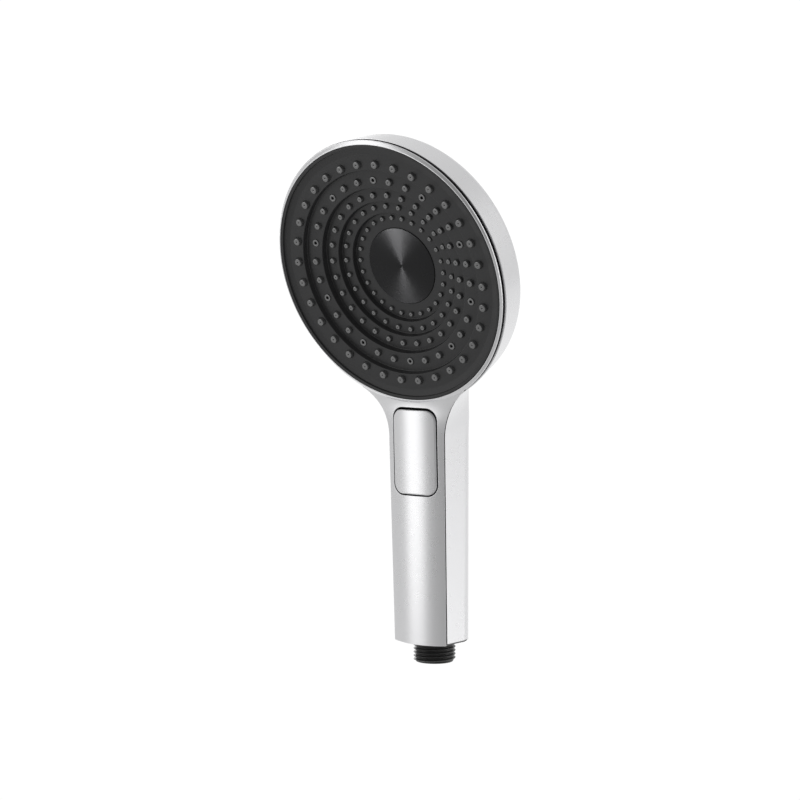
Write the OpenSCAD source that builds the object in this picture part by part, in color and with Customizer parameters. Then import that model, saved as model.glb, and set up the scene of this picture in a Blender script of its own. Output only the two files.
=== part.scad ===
// Handheld shower head with a round multi-spray face, a flat grip and a mode button.
// Origin: on the inlet thread's axis, in the plane of the grip's lower end.
// +Z runs up the grip towards the head, and the spray face looks towards -Y and down.

/* [Head] */
// Angle by which the spray face leans forward from upright
face_tilt = 18.4; // [18:0.1:18.8]
// Height of the spray face's centre above the grip's end
face_z = 182.6; // [182.2:0.1:183]
// Distance from the thread's axis forward to the spray face's centre
face_y = 38.4; // [38.2:0.1:38.6]
// Radius of the black spray plate's edge
plate_r = 65; // [64.8:0.1:65.2]
// Radius of the head's casing at its widest
head_r = 67.7; // [67.6:0.1:67.9]
// Radius of the head's casing where its side runs into the back edge
head_back_r = 65.4; // [65.2:0.1:65.6]
// Depth of the head's side behind the spray face
side_depth = 15.9; // [15.7:0.1:16.1]
// Radius of the edge between the head's side and its domed back
dome_edge_r = 5; // [4.8:0.1:5.2]
// Steepness of that edge where it runs into the dome
dome_edge_angle = 74; // [73.8:0.1:74.2]

/* [Grip] */
// Width of the grip at its lower end
grip_w_low = 31.9; // [31.7:0.1:32.3]
// Width of the grip below the neck
grip_w_high = 33.8; // [33.5:0.1:34.1]
// Distance from the thread's axis to the grip's front corners at the lower end
grip_front = 11.8; // [11.7:0.1:12]
// Distance from the thread's axis to the grip's back
grip_back = 13.1; // [13:0.1:13.3]
// Forward lean of the grip's front for each unit of height
grip_lean = 0.033; // [0.032:0.001:0.034]
// How far the front bows out between its corners
front_bow = 2.5; // [2.3:0.1:2.7]
// Radius of the grip's two back edges
back_edge_r = 9.5; // [9:0.1:9.8]
// Thickness of the plated casings
wall = 2.2; // [2.1:0.1:2.3]

/* [Spray plate] */
// Number of nozzles in each ring, from the outermost inward
ring_count = [32, 30, 28, 26, 26]; // [12:1:32]
// Radius of each ring of nozzles
ring_r = [55.1, 46.2, 38, 31.5, 24.8]; // [24:0.1:56]
// Depth of the terrace that each ring stands on
terrace_h = [1.7, 4.4, 7.4, 10.1, 12.7]; // [1.5:0.1:13]
// Radius at the lip of each step between two terraces
step_r = [52, 42.3, 34.6, 27.9]; // [27:0.1:53]
// Radius of each ring's nozzles where they leave the plate
nozzle_r = [2.1, 1.85, 1.6, 1.4, 1.25]; // [1:0.05:2.2]
// Height of each ring's nozzles above their terrace
nozzle_h = [1.5, 1.4, 1.3, 1.2, 1.1]; // [0.8:0.1:1.6]
// Radius of the brushed disc in the middle
disc_r = 19.4; // [19.2:0.1:19.6]

/* [Button] */
// Width of the button's window in the grip's front
window_w = 27; // [26.8:0.1:27.2]
// Height of the window's lower edge
window_low = 73.6; // [73.4:0.1:73.8]
// Height of the window's upper edge
window_high = 117; // [116.9:0.1:117.1]
// Corner radius of the window
window_corner = 6; // [5.5:0.1:6.5]
// Height of the pivot that the button rocks on
pivot_z = 79; // [78.9:0.1:79.1]
// Height of the axis of the mode selector behind the button
selector_z = 105; // [104.9:0.1:105.1]

/* [Inlet] */
// Outside radius of the G1/2 inlet thread
thread_r = 10.4775; // [10.4525:0.0125:10.4775]
// Pitch of the thread
thread_pitch = 1.8143; // [1.81:0.0001:1.82]
// Length of the threaded nipple below the grip
nipple_len = 10.6; // [10.5:0.1:10.8]
// Radius of the water passage in the inlet tube
tube_bore_r = 5.5; // [5.3:0.1:5.7]

/* [Hidden] */
$fn = 96;
slack = 0.1;                    // gap between a piece and the pocket it sits in
run = 0.05;                     // radial clearance of a part that turns or slides
far = 300;                      // longer than anything that is being cut

// ---- Outline of the grip ----
grip_end_wall = 3;              // thickness of the grip's lower end
neck_top = 152;                 // the neck has run into the dome by this height
fillet_r = 28;                  // the neck's front flares into the head along this fillet
fillet_low = 102.1;
fillet_high = 125.6;
fillet_x = 32.4;                // half width of the neck where the fillet ends
seam_front = 0.35;              // the front casing ends this far behind its front corners
seam_back = 0.75;               // and the rear casing starts here
rim_slope = 1.26;               // the bezel's outer edge lies this far behind the plate's plane

function ease(t) = let(c = max(0, min(1, t))) c * c * (3 - 2 * c);
function face_plane_y(z) = -face_y + (face_z - z) * tan(face_tilt) + rim_slope;
function corner_y(z) = min(-grip_front - grip_lean * z, face_plane_y(z));
function bow(z) = front_bow * (1 - 0.5 * ease((z - 100) / 21));
function straight_half(z) = (grip_w_low + (grip_w_high - grip_w_low) * min(z, 100) / 100) / 2;
function fillet_rise(z) = (max(fillet_low, min(z, fillet_high)) - fillet_low) / cos(face_tilt);
function flare(z) = fillet_r - sqrt(fillet_r * fillet_r - pow(fillet_rise(z), 2));
function front_half(z) = straight_half(z) + flare(z);
function back_half(z) = grip_w_low / 2 + 0.25 * flare(z);
function back_y(z) = grip_back - 19 * ease((z - 108) / 56);

// Outline at one height, drawn inward by inset: the bowed front, then the two back edges.
front_steps = 8;
edge_steps = 6;
function section(z, inset, front, bulge) =
    let(wf = front_half(z) - inset, wb = back_half(z) - inset,
        yb = back_y(z) - inset, r = back_edge_r - inset)
    [
        for (i = [0:front_steps]) let(u = 2 * i / front_steps - 1)
            [wf * u, front - bulge * (1 - u * u), z],
        for (i = [0:edge_steps]) let(a = 90 * i / edge_steps)
            [wb - r + r * cos(a), yb - r + r * sin(a), z],
        for (i = [0:edge_steps]) let(a = 90 + 90 * i / edge_steps)
            [-wb + r + r * cos(a), yb - r + r * sin(a), z]
    ];

// Solid through a list of rings, each a list of the same number of points.
module skin(rings) {
    n = len(rings[0]);
    m = len(rings);
    points = [for (ring = rings) each ring];
    sides = [
        for (j = [0:m - 2], i = [0:n - 1]) let(k = (i + 1) % n)
            each [[j * n + i, (j + 1) * n + i, j * n + k], [j * n + k, (j + 1) * n + i, (j + 1) * n + k]]
    ];
    caps = [[for (i = [0:n - 1]) i], [for (i = [n - 1:-1:0]) (m - 1) * n + i]];
    polyhedron(points, concat(sides, caps), convexity = 6);
}

grip_levels = [30, 60, 90, 100, 104, 107, 110, 113, 116, 118.2, 120, 122, 124, 126, 130, 134,
               138, 143, 148, neck_top];

module grip_outer() {
    end_round = 1;              // rounding of the grip's lower rim
    foot = [
        for (a = [0:30:90]) let(z = end_round * (1 - cos(a)), inset = end_round * (1 - sin(a)))
            section(z, inset, corner_y(z) + inset, bow(z))
    ];
    skin(concat(foot, [for (z = grip_levels) section(z, 0, corner_y(z), bow(z))]));
}

// The rear casing is open towards the front casing, so its hollow runs past the seam.
module grip_inner() {
    skin([for (z = concat([grip_end_wall], grip_levels)) section(z, wall, corner_y(z) - 1, 0.5)]);
}

// ---- Placing things on the spray face: z runs into the head, y runs down the face ----
module on_face() {
    translate([0, -face_y, face_z]) rotate([face_tilt - 90, 0, 0]) children();
}

// A tube or disc between two depths.
module ring(r_out, r_in, h0, h1) {
    rotate_extrude() translate([r_in, h0]) square([r_out - r_in, h1 - h0]);
}

module o_ring(r, wire) {
    rotate_extrude() translate([r, 0]) circle(r = wire, $fn = 24);
}

// Side, edge and dome of the head behind the rim, drawn inward by inset.
dome_steps = 10;
function head_back(inset) =
    let(cr = head_back_r - dome_edge_r, er = dome_edge_r - inset,
        tip = [cr + er * cos(dome_edge_angle), side_depth + er * sin(dome_edge_angle)],
        dome_r = tip[0] / cos(dome_edge_angle), dome_c = tip[1] - dome_r * sin(dome_edge_angle))
    [
        for (i = [0:5]) let(a = dome_edge_angle * i / 5)
            [cr + er * cos(a), side_depth + er * sin(a)],
        for (i = [1:dome_steps]) let(a = dome_edge_angle + (90 - dome_edge_angle) * i / dome_steps)
            [dome_r * cos(a), dome_c + dome_r * sin(a)]
    ];

bezel_r = 66.35;                // outer radius of the bezel, which sits inside the rear casing's lip
lip_r = 66.7;                   // inner radius of that lip
lip_front = 0.8;                // depth of the lip's front edge
lip_back = 2.4;                 // depth of the step behind the bezel
skirt_r = 65.2;                 // radius of the front casing's skirt inside the rear casing
skirt_in = 63.9;
plate_edge_t = 1.8;             // thickness of the spray plate at its edge
skirt_depth = 6;

module rear_head_outer() {
    rotate_extrude() polygon(concat(
        [[0, lip_front], [lip_r + 0.1, lip_front], [head_r - 0.3, lip_front + 0.4],
         [head_r, lip_front + 1.1], [head_r, lip_back + 1]],
        head_back(0)
    ));
}

module rear_head_inner() {
    rotate_extrude() polygon(concat(
        [[0, -1], [lip_r, -1], [lip_r, lip_back], [skirt_r + slack, lip_back],
         [skirt_r + slack, skirt_depth + 0.5]],
        head_back(wall)
    ));
}

// Everything in front of the seam, offset back from the front corners.
module before_seam(offset_y) {
    kink = (grip_front - face_y + rim_slope + face_z * tan(face_tilt)) / (tan(face_tilt) - grip_lean);
    low = -20;
    high = 280;
    translate([far / 2, 0, 0]) rotate([90, 0, -90]) linear_extrude(far)
        polygon([
            [-(corner_y(low) + offset_y), low], [-(corner_y(kink) + offset_y), kink],
            [-(corner_y(high) + offset_y), high], [far, high], [far, low]
        ]);
}

// Rounded rectangle seen from the front, cut or built along Y.
module front_pad(w, z0, z1, r, y0, y1) {
    module disc() { rotate([-90, 0, 0]) cylinder(r = r, h = y1 - y0); }
    translate([-w / 2 + r, y0, z0]) cube([w - 2 * r, y1 - y0, z1 - z0]);
    translate([-w / 2, y0, z0 + r]) cube([w, y1 - y0, z1 - z0 - 2 * r]);
    for (x = [-w / 2 + r, w / 2 - r], z = [z0 + r, z1 - r]) translate([x, y0, z]) disc();
}

// ---- Casings ----
module front_casing() {
    color([0.84, 0.84, 0.85]) {
        difference() {
            intersection() {
                grip_outer();
                before_seam(seam_front);
            }
            on_face() translate([0, 0, -20]) cylinder(r = bezel_r - slack, h = 60);
            front_pad(window_w, window_low, window_high, window_corner, -30, 0);
        }
        on_face() rotate_extrude()
            polygon([
                [plate_r + run, 0], [bezel_r - 0.4, 0.15], [bezel_r, 0.6], [bezel_r, lip_back - slack],
                [skirt_r, lip_back - slack], [skirt_r, skirt_depth], [skirt_in, skirt_depth],
                [skirt_in, plate_edge_t + run], [plate_r + run, plate_edge_t + run]
            ]);
    }
}

screw_x = 9;                    // the selector's two screws to the rear casing
screw_z = 88;
boss_r = 3;
selector_back = 7.5;            // back face of the selector body

insert_r = 3.8;                 // brass insert that the centre screw is driven into
insert_h = [22.2, 26.8];        // and the depths of its two ends

module rear_casing() {
    color([0.80, 0.80, 0.81]) difference() {
        union() {
            difference() {
                union() {
                    difference() {
                        grip_outer();
                        before_seam(seam_back);
                    }
                    on_face() rear_head_outer();
                }
                // room for the front casing's neck, which crosses the head's lip
                intersection() {
                    before_seam(seam_back);
                    translate([-fillet_x, -60, 0]) cube([2 * fillet_x, 100, fillet_high + 2]);
                }
                grip_inner();
                on_face() rear_head_inner();
            }
            on_face() ring(6.5, insert_r, 21.9, insert_h[1] + 1);
            for (x = [-screw_x, screw_x]) translate([x, selector_back + slack, screw_z])
                rotate([-90, 0, 0]) ring(boss_r, 1.15, 0, 3.8);
        }
        translate([0, 0, -1]) cylinder(r = thread_r + 0.12, h = grip_end_wall + 2);
    }
}

// ---- Spray plate and nozzles ----
plate_t = 1.6;                  // thickness of the plate's terraces
step_t = 0.9;                   // thickness of the plate's step walls
draft = 0.5;                    // slope of the step walls
mat_t = 1.2;                    // thickness of the silicone mat
disc_seat = 13.6;               // depth of the floor under the disc
head_seat = 16.4;               // depth of the floor under the centre screw's head
mat_r = 62.3;
mat_in = 21.2;

// Stepped outline from the outside in: depth h behind the terraces, walls moved out by t.
function steps(h, t) = [
    for (i = [0:3]) each [[step_r[i] + t, terrace_h[i] + h], [step_r[i] + t - draft, terrace_h[i + 1] + h]]
];
function backwards(list) = [for (i = [len(list) - 1:-1:0]) list[i]];

// Angle of nozzle i in a ring; the outermost and the third ring straddle the top.
function nozzle_angle(ring_i, i) =
    360 / ring_count[ring_i] * (i + ((ring_i == 0 || ring_i == 2) ? 0.5 : 0));
function is_jet(ring_i, i) = ring_i == 1 && i % 3 == 0;

module at_nozzles() {
    for (k = [0:4], i = [0:ring_count[k] - 1]) {
        $ring = k;
        $jet = is_jet(k, i);
        a = nozzle_angle(k, i);
        translate([ring_r[k] * sin(a), -ring_r[k] * cos(a), terrace_h[k]]) children();
    }
}

module spray_plate() {
    color([0.10, 0.10, 0.11]) on_face() difference() {
        rotate_extrude() polygon(concat(
            [[plate_r, plate_edge_t], [plate_r, 0], [64.2, 0], [63.7, 0.5], [60, terrace_h[0]]],
            steps(0, 0),
            [[disc_r + slack, terrace_h[4]], [disc_r + slack, disc_seat], [6.6, disc_seat],
             [6.6, head_seat], [2.8, head_seat], [2.8, head_seat + 1.4], [8, head_seat + 1.4],
             [8, disc_seat + 1.4], [mat_in, terrace_h[4] + plate_t]],
            backwards(steps(plate_t, step_t)),
            [[60.4, terrace_h[0] + plate_t], [63.6, plate_edge_t]]
        ));
        at_nozzles() translate([0, 0, -2]) cylinder(r = nozzle_r[$ring] + slack, h = 5, $fn = 32);
    }
}

module nozzle(r, h, root) {
    tip = 0.72 * r;
    translate([0, 0, -root]) cylinder(r = r, h = root, $fn = 32);
    rotate_extrude($fn = 32) polygon([[0, 0], [r, 0], [tip + 0.15, h - 0.3], [tip, h], [0, h]]);
}

module nozzle_mat() {
    root = plate_t + slack + 0.4;
    color([0.42, 0.42, 0.44]) on_face() difference() {
        union() {
            rotate_extrude() polygon(concat(
                [[mat_r, terrace_h[0] + plate_t + slack]], steps(plate_t + slack, step_t + slack),
                [[mat_in, terrace_h[4] + plate_t + slack], [mat_in, terrace_h[4] + plate_t + mat_t]],
                backwards(steps(plate_t + mat_t, step_t + 1)),
                [[mat_r, terrace_h[0] + plate_t + mat_t]]
            ));
            at_nozzles() mirror([0, 0, 1])
                nozzle(nozzle_r[$ring], $jet ? 0.4 : nozzle_h[$ring], root);
        }
        at_nozzles() translate([0, 0, -3])
            cylinder(r = $jet ? 0.8 : 0.22 * nozzle_r[$ring], h = 8, $fn = 24);
    }
}

module centre_disc() {
    disc_top = 12.35;
    color([0.22, 0.22, 0.23]) on_face() difference() {
        rotate_extrude() polygon([
            [0, disc_top], [disc_r - 0.3, disc_top], [disc_r, disc_top + 0.3], [disc_r, disc_seat],
            [0, disc_seat]
        ]);
        rotate_extrude() polygon([[0, disc_top - 1], [0.9, disc_top - 1], [0, disc_top + 0.3]]);
    }
}

module centre_screw() {
    color([0.75, 0.73, 0.70]) on_face() difference() {
        union() {
            ring(5.6, 0, 14, head_seat);
            ring(2.4, 0, head_seat, insert_h[1] - 0.2);
        }
        translate([0, 0, 13]) cylinder(r = 2, h = 2.4, $fn = 6);
    }
}

module centre_insert() {
    color([0.80, 0.62, 0.30]) on_face() ring(insert_r, 2.45, insert_h[0], insert_h[1]);
}

// ---- Water chambers behind the mat ----
water_gap = 1.6;                // water space between the mat and the water plate
water_t = 1.8;                  // thickness of the water plate
water_h = plate_t + mat_t + water_gap;
cover_bolt_r = 26;
cover_bolts = 6;
screw_end_h = 17.7;             // depth of the cover screws' tips
duct_h = 16.6;                  // depth of the three ducts' axes
duct_x = [-7, 0, 7];
duct_r = 2;
duct_joint = 61;                // distance down the face to the joint in the ducts
joint_gap = 1.2;

// Inner surface of the chamber cover, as depth at a radius.
cover_rim = 60.4;
cover_curve = [[cover_rim - 1.6, 10.4], [49.4, 14.4], [33, 19.6], [0, 19.6]];
function cover_inner(r) = lookup(r, cover_curve);
cover_t = 1.6;

module water_plate() {
    foot = plate_t + mat_t + slack;
    color([0.16, 0.16, 0.17]) on_face() difference() {
        union() {
            rotate_extrude() polygon(concat(
                [[62, terrace_h[0] + foot], [60, terrace_h[0] + foot], [60, terrace_h[0] + water_h]],
                steps(water_h, step_t + 1 + water_gap),
                [[8.2, terrace_h[4] + water_h], [8.2, head_seat + 1.5], [2.7, head_seat + 1.5],
                 [2.7, cover_inner(0) - slack], [8.2, cover_inner(0) - slack],
                 [8.2, terrace_h[4] + water_h + water_t]],
                backwards(steps(water_h + water_t, step_t + 1 + water_gap + water_t)),
                [[62, terrace_h[0] + water_h + water_t]]
            ));
            // walls between the three water chambers, in front and behind
            ring(51.2, 50, terrace_h[1] + foot, terrace_h[1] + water_h + 0.2);
            ring(42.2, 41.2, terrace_h[2] + foot, terrace_h[2] + water_h + 0.2);
            ring(22.6, mat_in, terrace_h[4] + foot, terrace_h[4] + water_h + 0.2);
            ring(52.4, 51.2, terrace_h[1] + water_h, cover_inner(52.4) - slack);
            ring(42.2, 41.2, terrace_h[2] + water_h, cover_inner(42.2) - slack);
            for (i = [0:cover_bolts - 1]) rotate(60 * i + 30) translate([cover_bolt_r, 0, 0])
                ring(2.6, 0, terrace_h[4] + water_h + 0.2, cover_inner(cover_bolt_r) - slack);
        }
        for (i = [0:cover_bolts - 1]) rotate(60 * i + 30) translate([cover_bolt_r, 0, screw_end_h - 0.2])
            cylinder(r = 1, h = 5);
        // water feeds into the outer, middle and inner chamber
        for (i = [0:7]) rotate(45 * i + 22.5) {
            translate([57, 0, 0]) cylinder(r = 1.3, h = 12);
            translate([46.2, 0, 6]) cylinder(r = 1.3, h = 12);
            translate([36.2, 0, 8]) cylinder(r = 1.3, h = 12);
        }
    }
}

module chamber_cover() {
    color([0.20, 0.20, 0.21]) on_face() difference() {
        union() {
            rotate_extrude() polygon(concat(
                [[cover_rim, 8.8], [cover_rim - 1.6, 8.8]], cover_curve,
                [for (i = [3:-1:0]) cover_curve[i] + [i == 0 ? 1.6 : 0, cover_t]]
            ));
            translate([-11, 46, duct_h - 3]) cube([22, duct_joint - 46, 6]);
        }
        for (x = duct_x) translate([x, 40, duct_h]) rotate([-90, 0, 0]) cylinder(r = duct_r, h = 40);
        translate([0, 0, 15]) cylinder(r = 2.7, h = 10);
        for (i = [0:cover_bolts - 1]) rotate(60 * i + 30) translate([cover_bolt_r, 0, 15])
            cylinder(r = 1.5, h = 10);
    }
}

module chamber_seal() {
    color([0.08, 0.08, 0.08]) on_face() translate([0, 0, 8.35]) o_ring(cover_rim - 0.8, 0.42);
}

module cover_screws() {
    under_head = cover_inner(cover_bolt_r) + cover_t;
    color([0.75, 0.73, 0.70]) on_face()
        for (i = [0:cover_bolts - 1]) rotate(60 * i + 30) translate([cover_bolt_r, 0, 0]) difference() {
            union() {
                ring(2.6, 0, under_head, under_head + 1.5);
                ring(0.95, 0, screw_end_h, under_head);
            }
            translate([0, 0, under_head + 0.7]) cylinder(r = 1, h = 2, $fn = 6);
        }
}

module duct_seals() {
    color([0.08, 0.08, 0.08]) on_face() for (x = duct_x)
        translate([x, duct_joint + joint_gap / 2, duct_h]) rotate([90, 0, 0]) o_ring(2.75, 0.58);
}

// ---- Mode selector ----
bore_r = 8;                     // bore that the rotor turns in
body_front = -6.5;              // front face of the selector body
bore_floor = 3;
socket_z = [60, 69.5];          // socket for the inlet tube
socket_r = 7.1;
pivot_y = -11;
pin_r = 1.2;
ear_x = [12.6, 13.6];

module along_y(y) {
    translate([0, y, selector_z]) rotate([-90, 0, 0]) children();
}

module selector_body() {
    color([0.13, 0.13, 0.14]) difference() {
        union() {
            translate([0, 0, socket_z[0]]) cylinder(r = 9.4, h = 16);
            translate([-12.4, body_front, 72]) cube([24.8, selector_back - body_front, 44.6]);
            for (s = [-1, 1]) translate([s > 0 ? ear_x[0] : -ear_x[1], pivot_y - 2.4, pivot_z - 3])
                cube([ear_x[1] - ear_x[0], 12, 6]);
            for (s = [-1, 1]) translate([s > 0 ? 11 : -ear_x[1], -4, pivot_z - 3])
                cube([ear_x[1] - 11, 5, 6]);
            on_face() translate([-10.5, duct_joint + joint_gap, duct_h - 3]) cube([21, 16, 6]);
        }
        translate([0, 0, socket_z[0] - 1]) cylinder(r = socket_r, h = socket_z[1] - socket_z[0] + 1);
        translate([0, 0, 60]) cylinder(r = 4.5, h = selector_z - 60);
        along_y(body_front - 1) cylinder(r = bore_r, h = bore_floor - body_front + 1);
        along_y(body_front - 1) ring(9.4, 8.4, 0, 1.8);
        // one outlet port to each duct
        for (i = [0:2]) {
            a = 60 + 30 * i;
            translate([5.6 * cos(a), 0, selector_z + 5.6 * sin(a)]) rotate([-90, 0, 0])
                cylinder(r = 1.2, h = 5.4);
        }
        on_face() for (x = duct_x) translate([x, duct_joint, duct_h]) rotate([-90, 0, 0])
            cylinder(r = duct_r, h = 15.4);
        for (s = [-1, 1]) {
            translate([s * screw_x, -far / 2, screw_z]) rotate([-90, 0, 0]) cylinder(r = 1.5, h = far);
            translate([s * screw_x, body_front - 1, screw_z]) rotate([-90, 0, 0]) cylinder(r = 2.8, h = 3);
        }
        for (x = [-10.2, 10.2], z = [-9.6, 9.6]) translate([x, body_front - 1, selector_z + z])
            rotate([-90, 0, 0]) cylinder(r = 0.8, h = 6);
        translate([-20, pivot_y, pivot_z]) rotate([0, 90, 0]) cylinder(r = pin_r + 0.02, h = 40);
    }
}

module body_screws() {
    head_y = body_front + 2;
    color([0.75, 0.73, 0.70]) for (s = [-1, 1]) translate([s * screw_x, head_y, screw_z])
        rotate([-90, 0, 0]) difference() {
            union() {
                ring(2.6, 0, -1.6, 0);
                ring(1.05, 0, 0, 14.2);
            }
            translate([0, 0, -2]) cylinder(r = 1, h = 1.3, $fn = 6);
        }
}

seal_y = 1.8;                   // front of the rubber seal on the bore's floor

module selector_seal() {
    color([0.10, 0.10, 0.10]) difference() {
        along_y(seal_y) cylinder(r = bore_r - slack, h = bore_floor - seal_y);
        for (i = [0:2]) {
            a = 60 + 30 * i;
            translate([5.6 * cos(a), 0, selector_z + 5.6 * sin(a)]) rotate([-90, 0, 0])
                cylinder(r = 1.2, h = 10);
        }
    }
}

teeth = 12;
tooth_h = 1.2;
crown_r = [5.4, 7.3];

// Ring of ramped teeth that point along +Z.
module crown(offset_angle, lean) {
    tooth_w = 1.3;
    for (i = [0:teeth - 1]) rotate(360 / teeth * i + offset_angle) translate([crown_r[0], 0, 0])
        rotate([90, 0, 90]) linear_extrude(crown_r[1] - crown_r[0])
            polygon([
                [-tooth_w / 2, -0.2], [tooth_w / 2, -0.2], [lean * tooth_w / 2, tooth_h],
                [lean * tooth_w / 2 - 0.01, tooth_h], [-tooth_w / 2, 0]
            ]);
}

rotor_y = [-1, seal_y - slack];
plunger_y = -4.9;               // back of the plunger's flange
plunger_tip = -10.8;

module selector_rotor() {
    color([0.85, 0.84, 0.80]) difference() {
        union() {
            along_y(rotor_y[0]) cylinder(r = bore_r - 2 * run, h = rotor_y[1] - rotor_y[0]);
            along_y(rotor_y[0]) mirror([0, 0, 1]) crown(0, 1);
            along_y(rotor_y[0] - 0.8) cylinder(r = 2.8, h = 1);
        }
        // four ports, so that every third click opens the same duct again
        for (i = [0:3]) along_y(rotor_y[0] - 2) rotate(90 * i) translate([5.6, 0, 0])
            cylinder(r = 1.1, h = 8);
    }
}

bonnet_front = -8;
gland_front = -9.6;
shaft_r = 2.5;

module selector_bonnet() {
    color([0.13, 0.13, 0.14]) difference() {
        union() {
            front_pad(23.6, selector_z - 11.6, selector_z + 11.4, 2, bonnet_front, body_front - 0.02);
            along_y(gland_front) cylinder(r = 4.6, h = 2);
        }
        along_y(gland_front - 1) cylinder(r = shaft_r + run, h = 6);
        along_y(-8.9) cylinder(r = 3.65, h = 1.3);
        for (x = [-10.2, 10.2], z = [-9.6, 9.6]) translate([x, bonnet_front - 1, selector_z + z])
            rotate([-90, 0, 0]) cylinder(r = 1.1, h = 6);
    }
}

module bonnet_seal() {
    color([0.08, 0.08, 0.08]) along_y(body_front + 0.38) o_ring(8.9, 0.36);
}

module bonnet_screws() {
    color([0.75, 0.73, 0.70]) for (x = [-10.2, 10.2], z = [-9.6, 9.6])
        translate([x, bonnet_front, selector_z + z]) rotate([-90, 0, 0]) difference() {
            union() {
                ring(1.9, 0, -0.9, 0);
                ring(0.75, 0, 0, 6);
            }
            translate([0, 0, -1.2]) cylinder(r = 0.7, h = 0.8, $fn = 6);
        }
}

module plunger() {
    color([0.88, 0.88, 0.86]) {
        along_y(plunger_tip) cylinder(r = shaft_r, h = plunger_y - plunger_tip);
        along_y(plunger_y - 1) cylinder(r = 7.5, h = 1);
        along_y(plunger_y) crown(180 / teeth, -1);
    }
}

module plunger_seal() {
    color([0.08, 0.08, 0.08]) along_y(-8.25) o_ring(shaft_r + run + 0.5, 0.5);
}

// Compression spring from the plunger's flange to the rotor.
module plunger_spring() {
    coil_r = 3.9;
    wire_r = 0.3;
    turns = 3;
    per_turn = 18;
    sides = 8;
    y0 = plunger_y + wire_r + run;
    y1 = rotor_y[0] - wire_r - run;
    rings = [
        for (i = [0:turns * per_turn]) let(a = 360 * i / per_turn, t = i / (turns * per_turn))
            [for (k = [0:sides - 1]) let(b = 360 * k / sides, r = coil_r + wire_r * cos(b))
                [r * cos(a), r * sin(a), (y1 - y0) * t + wire_r * sin(b)]]
    ];
    color([0.70, 0.70, 0.72]) along_y(y0) skin([for (i = [len(rings) - 1:-1:0]) rings[i]]);
}

// ---- Button ----
cap_gap = 0.4;                  // gap around the button
cap_top_gap = 0.8;              // gap above it, for the arc that its upper edge swings on
cap_back = -13.8;
cap_wall = 1.6;
cap_bow_r = 55.7;               // radius of the cap's bowed front
cap_lean = 2.1;                 // forward lean of the cap's front

// Round bar whose front line lies on the cap's front, inset by t.
module cap_front(t) {
    translate([0, -17.1 + t, window_low]) rotate([cap_lean, 0, 0])
        translate([0, cap_bow_r, -20]) cylinder(r = cap_bow_r, h = 90, $fn = 200);
}

module button_cap() {
    color([0.84, 0.84, 0.85]) difference() {
        intersection() {
            front_pad(window_w - 2 * cap_gap, window_low + cap_gap, window_high - cap_top_gap,
                      window_corner - cap_gap, -24, cap_back);
            cap_front(0);
        }
        intersection() {
            front_pad(window_w - 2 * cap_gap - 2 * cap_wall, window_low + cap_gap + cap_wall,
                      window_high - cap_top_gap - cap_wall, window_corner - cap_gap - cap_wall, -24, -5);
            cap_front(cap_wall);
        }
    }
}

module button_lever() {
    nose_r = 1.2;
    back = -11.8;
    color([0.16, 0.16, 0.17]) difference() {
        union() {
            translate([-12, cap_back + run, 75.4]) cube([24, back - cap_back - run, 39.6]);
            translate([-12.2, pivot_y, pivot_z]) rotate([0, 90, 0]) cylinder(r = 2.5, h = 24.4);
            translate([-9, cap_back - 0.8, 82]) cube([18, 1.4, 28]);
            along_y(back - 0.5) cylinder(r = nose_r, h = plunger_tip - 0.15 - back + 0.5);
        }
        translate([-20, pivot_y, pivot_z]) rotate([0, 90, 0]) cylinder(r = pin_r + run, h = 40);
    }
}

module pivot_pin() {
    color([0.70, 0.70, 0.72]) translate([-ear_x[1], pivot_y, pivot_z]) rotate([0, 90, 0])
        cylinder(r = pin_r, h = 2 * ear_x[1]);
}

// ---- Inlet ----
tube_r = 8.5;
spigot_r = 7;
spigot_top = socket_z[1] - 0.5;
thread_depth = 0.64 * thread_pitch;
first_crest = -nipple_len + 0.99;
crest_land = 0.3;
filter_bore = 7.8;              // recess for the filter in the nipple's mouth
filter_seat = -nipple_len + 1.8;
regulator_bore = 7.2;
regulator_top = 2;              // shoulder that the flow regulator rests under

// Half of the nipple's outline: one ridge for each turn of the thread, then a short plain collar.
function thread_outline() = [
    for (k = [0:5]) let(z = first_crest + k * thread_pitch, root = thread_r - thread_depth,
                        half_base = thread_pitch / 2 - 0.15)
        each [[root, z - half_base], [thread_r, z - crest_land / 2],
              [thread_r, k < 5 ? z + crest_land / 2 : 0], if (k < 5) [root, z + half_base]]
];

module inlet_tube() {
    color([0.12, 0.12, 0.12]) difference() {
        union() {
            rotate_extrude() polygon(concat(
                [[0, -nipple_len], [9.3, -nipple_len]], thread_outline(),
                [[thread_r - 0.2, 0], [thread_r - 0.2, grip_end_wall + slack], [10.7, grip_end_wall + slack],
                 [10.7, 6], [tube_r, 8], [tube_r, socket_z[0] - slack], [spigot_r, socket_z[0] - slack],
                 [spigot_r, spigot_top], [0, spigot_top]]
            ));
        }
        translate([0, 0, -nipple_len - 1]) cylinder(r = tube_bore_r, h = far);
        translate([0, 0, filter_seat]) cylinder(r = regulator_bore, h = regulator_top - filter_seat);
        translate([0, 0, -nipple_len - 1]) cylinder(r = filter_bore, h = filter_seat + nipple_len + 1);
        for (z = [62.5, 66.5]) translate([0, 0, z]) ring(spigot_r + 1, spigot_r - 1, -0.7, 0.7);
    }
}

module tube_seals() {
    color([0.08, 0.08, 0.08]) for (z = [62.5, 66.5]) translate([0, 0, z]) o_ring(socket_r - 0.55, 0.5);
}

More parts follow.
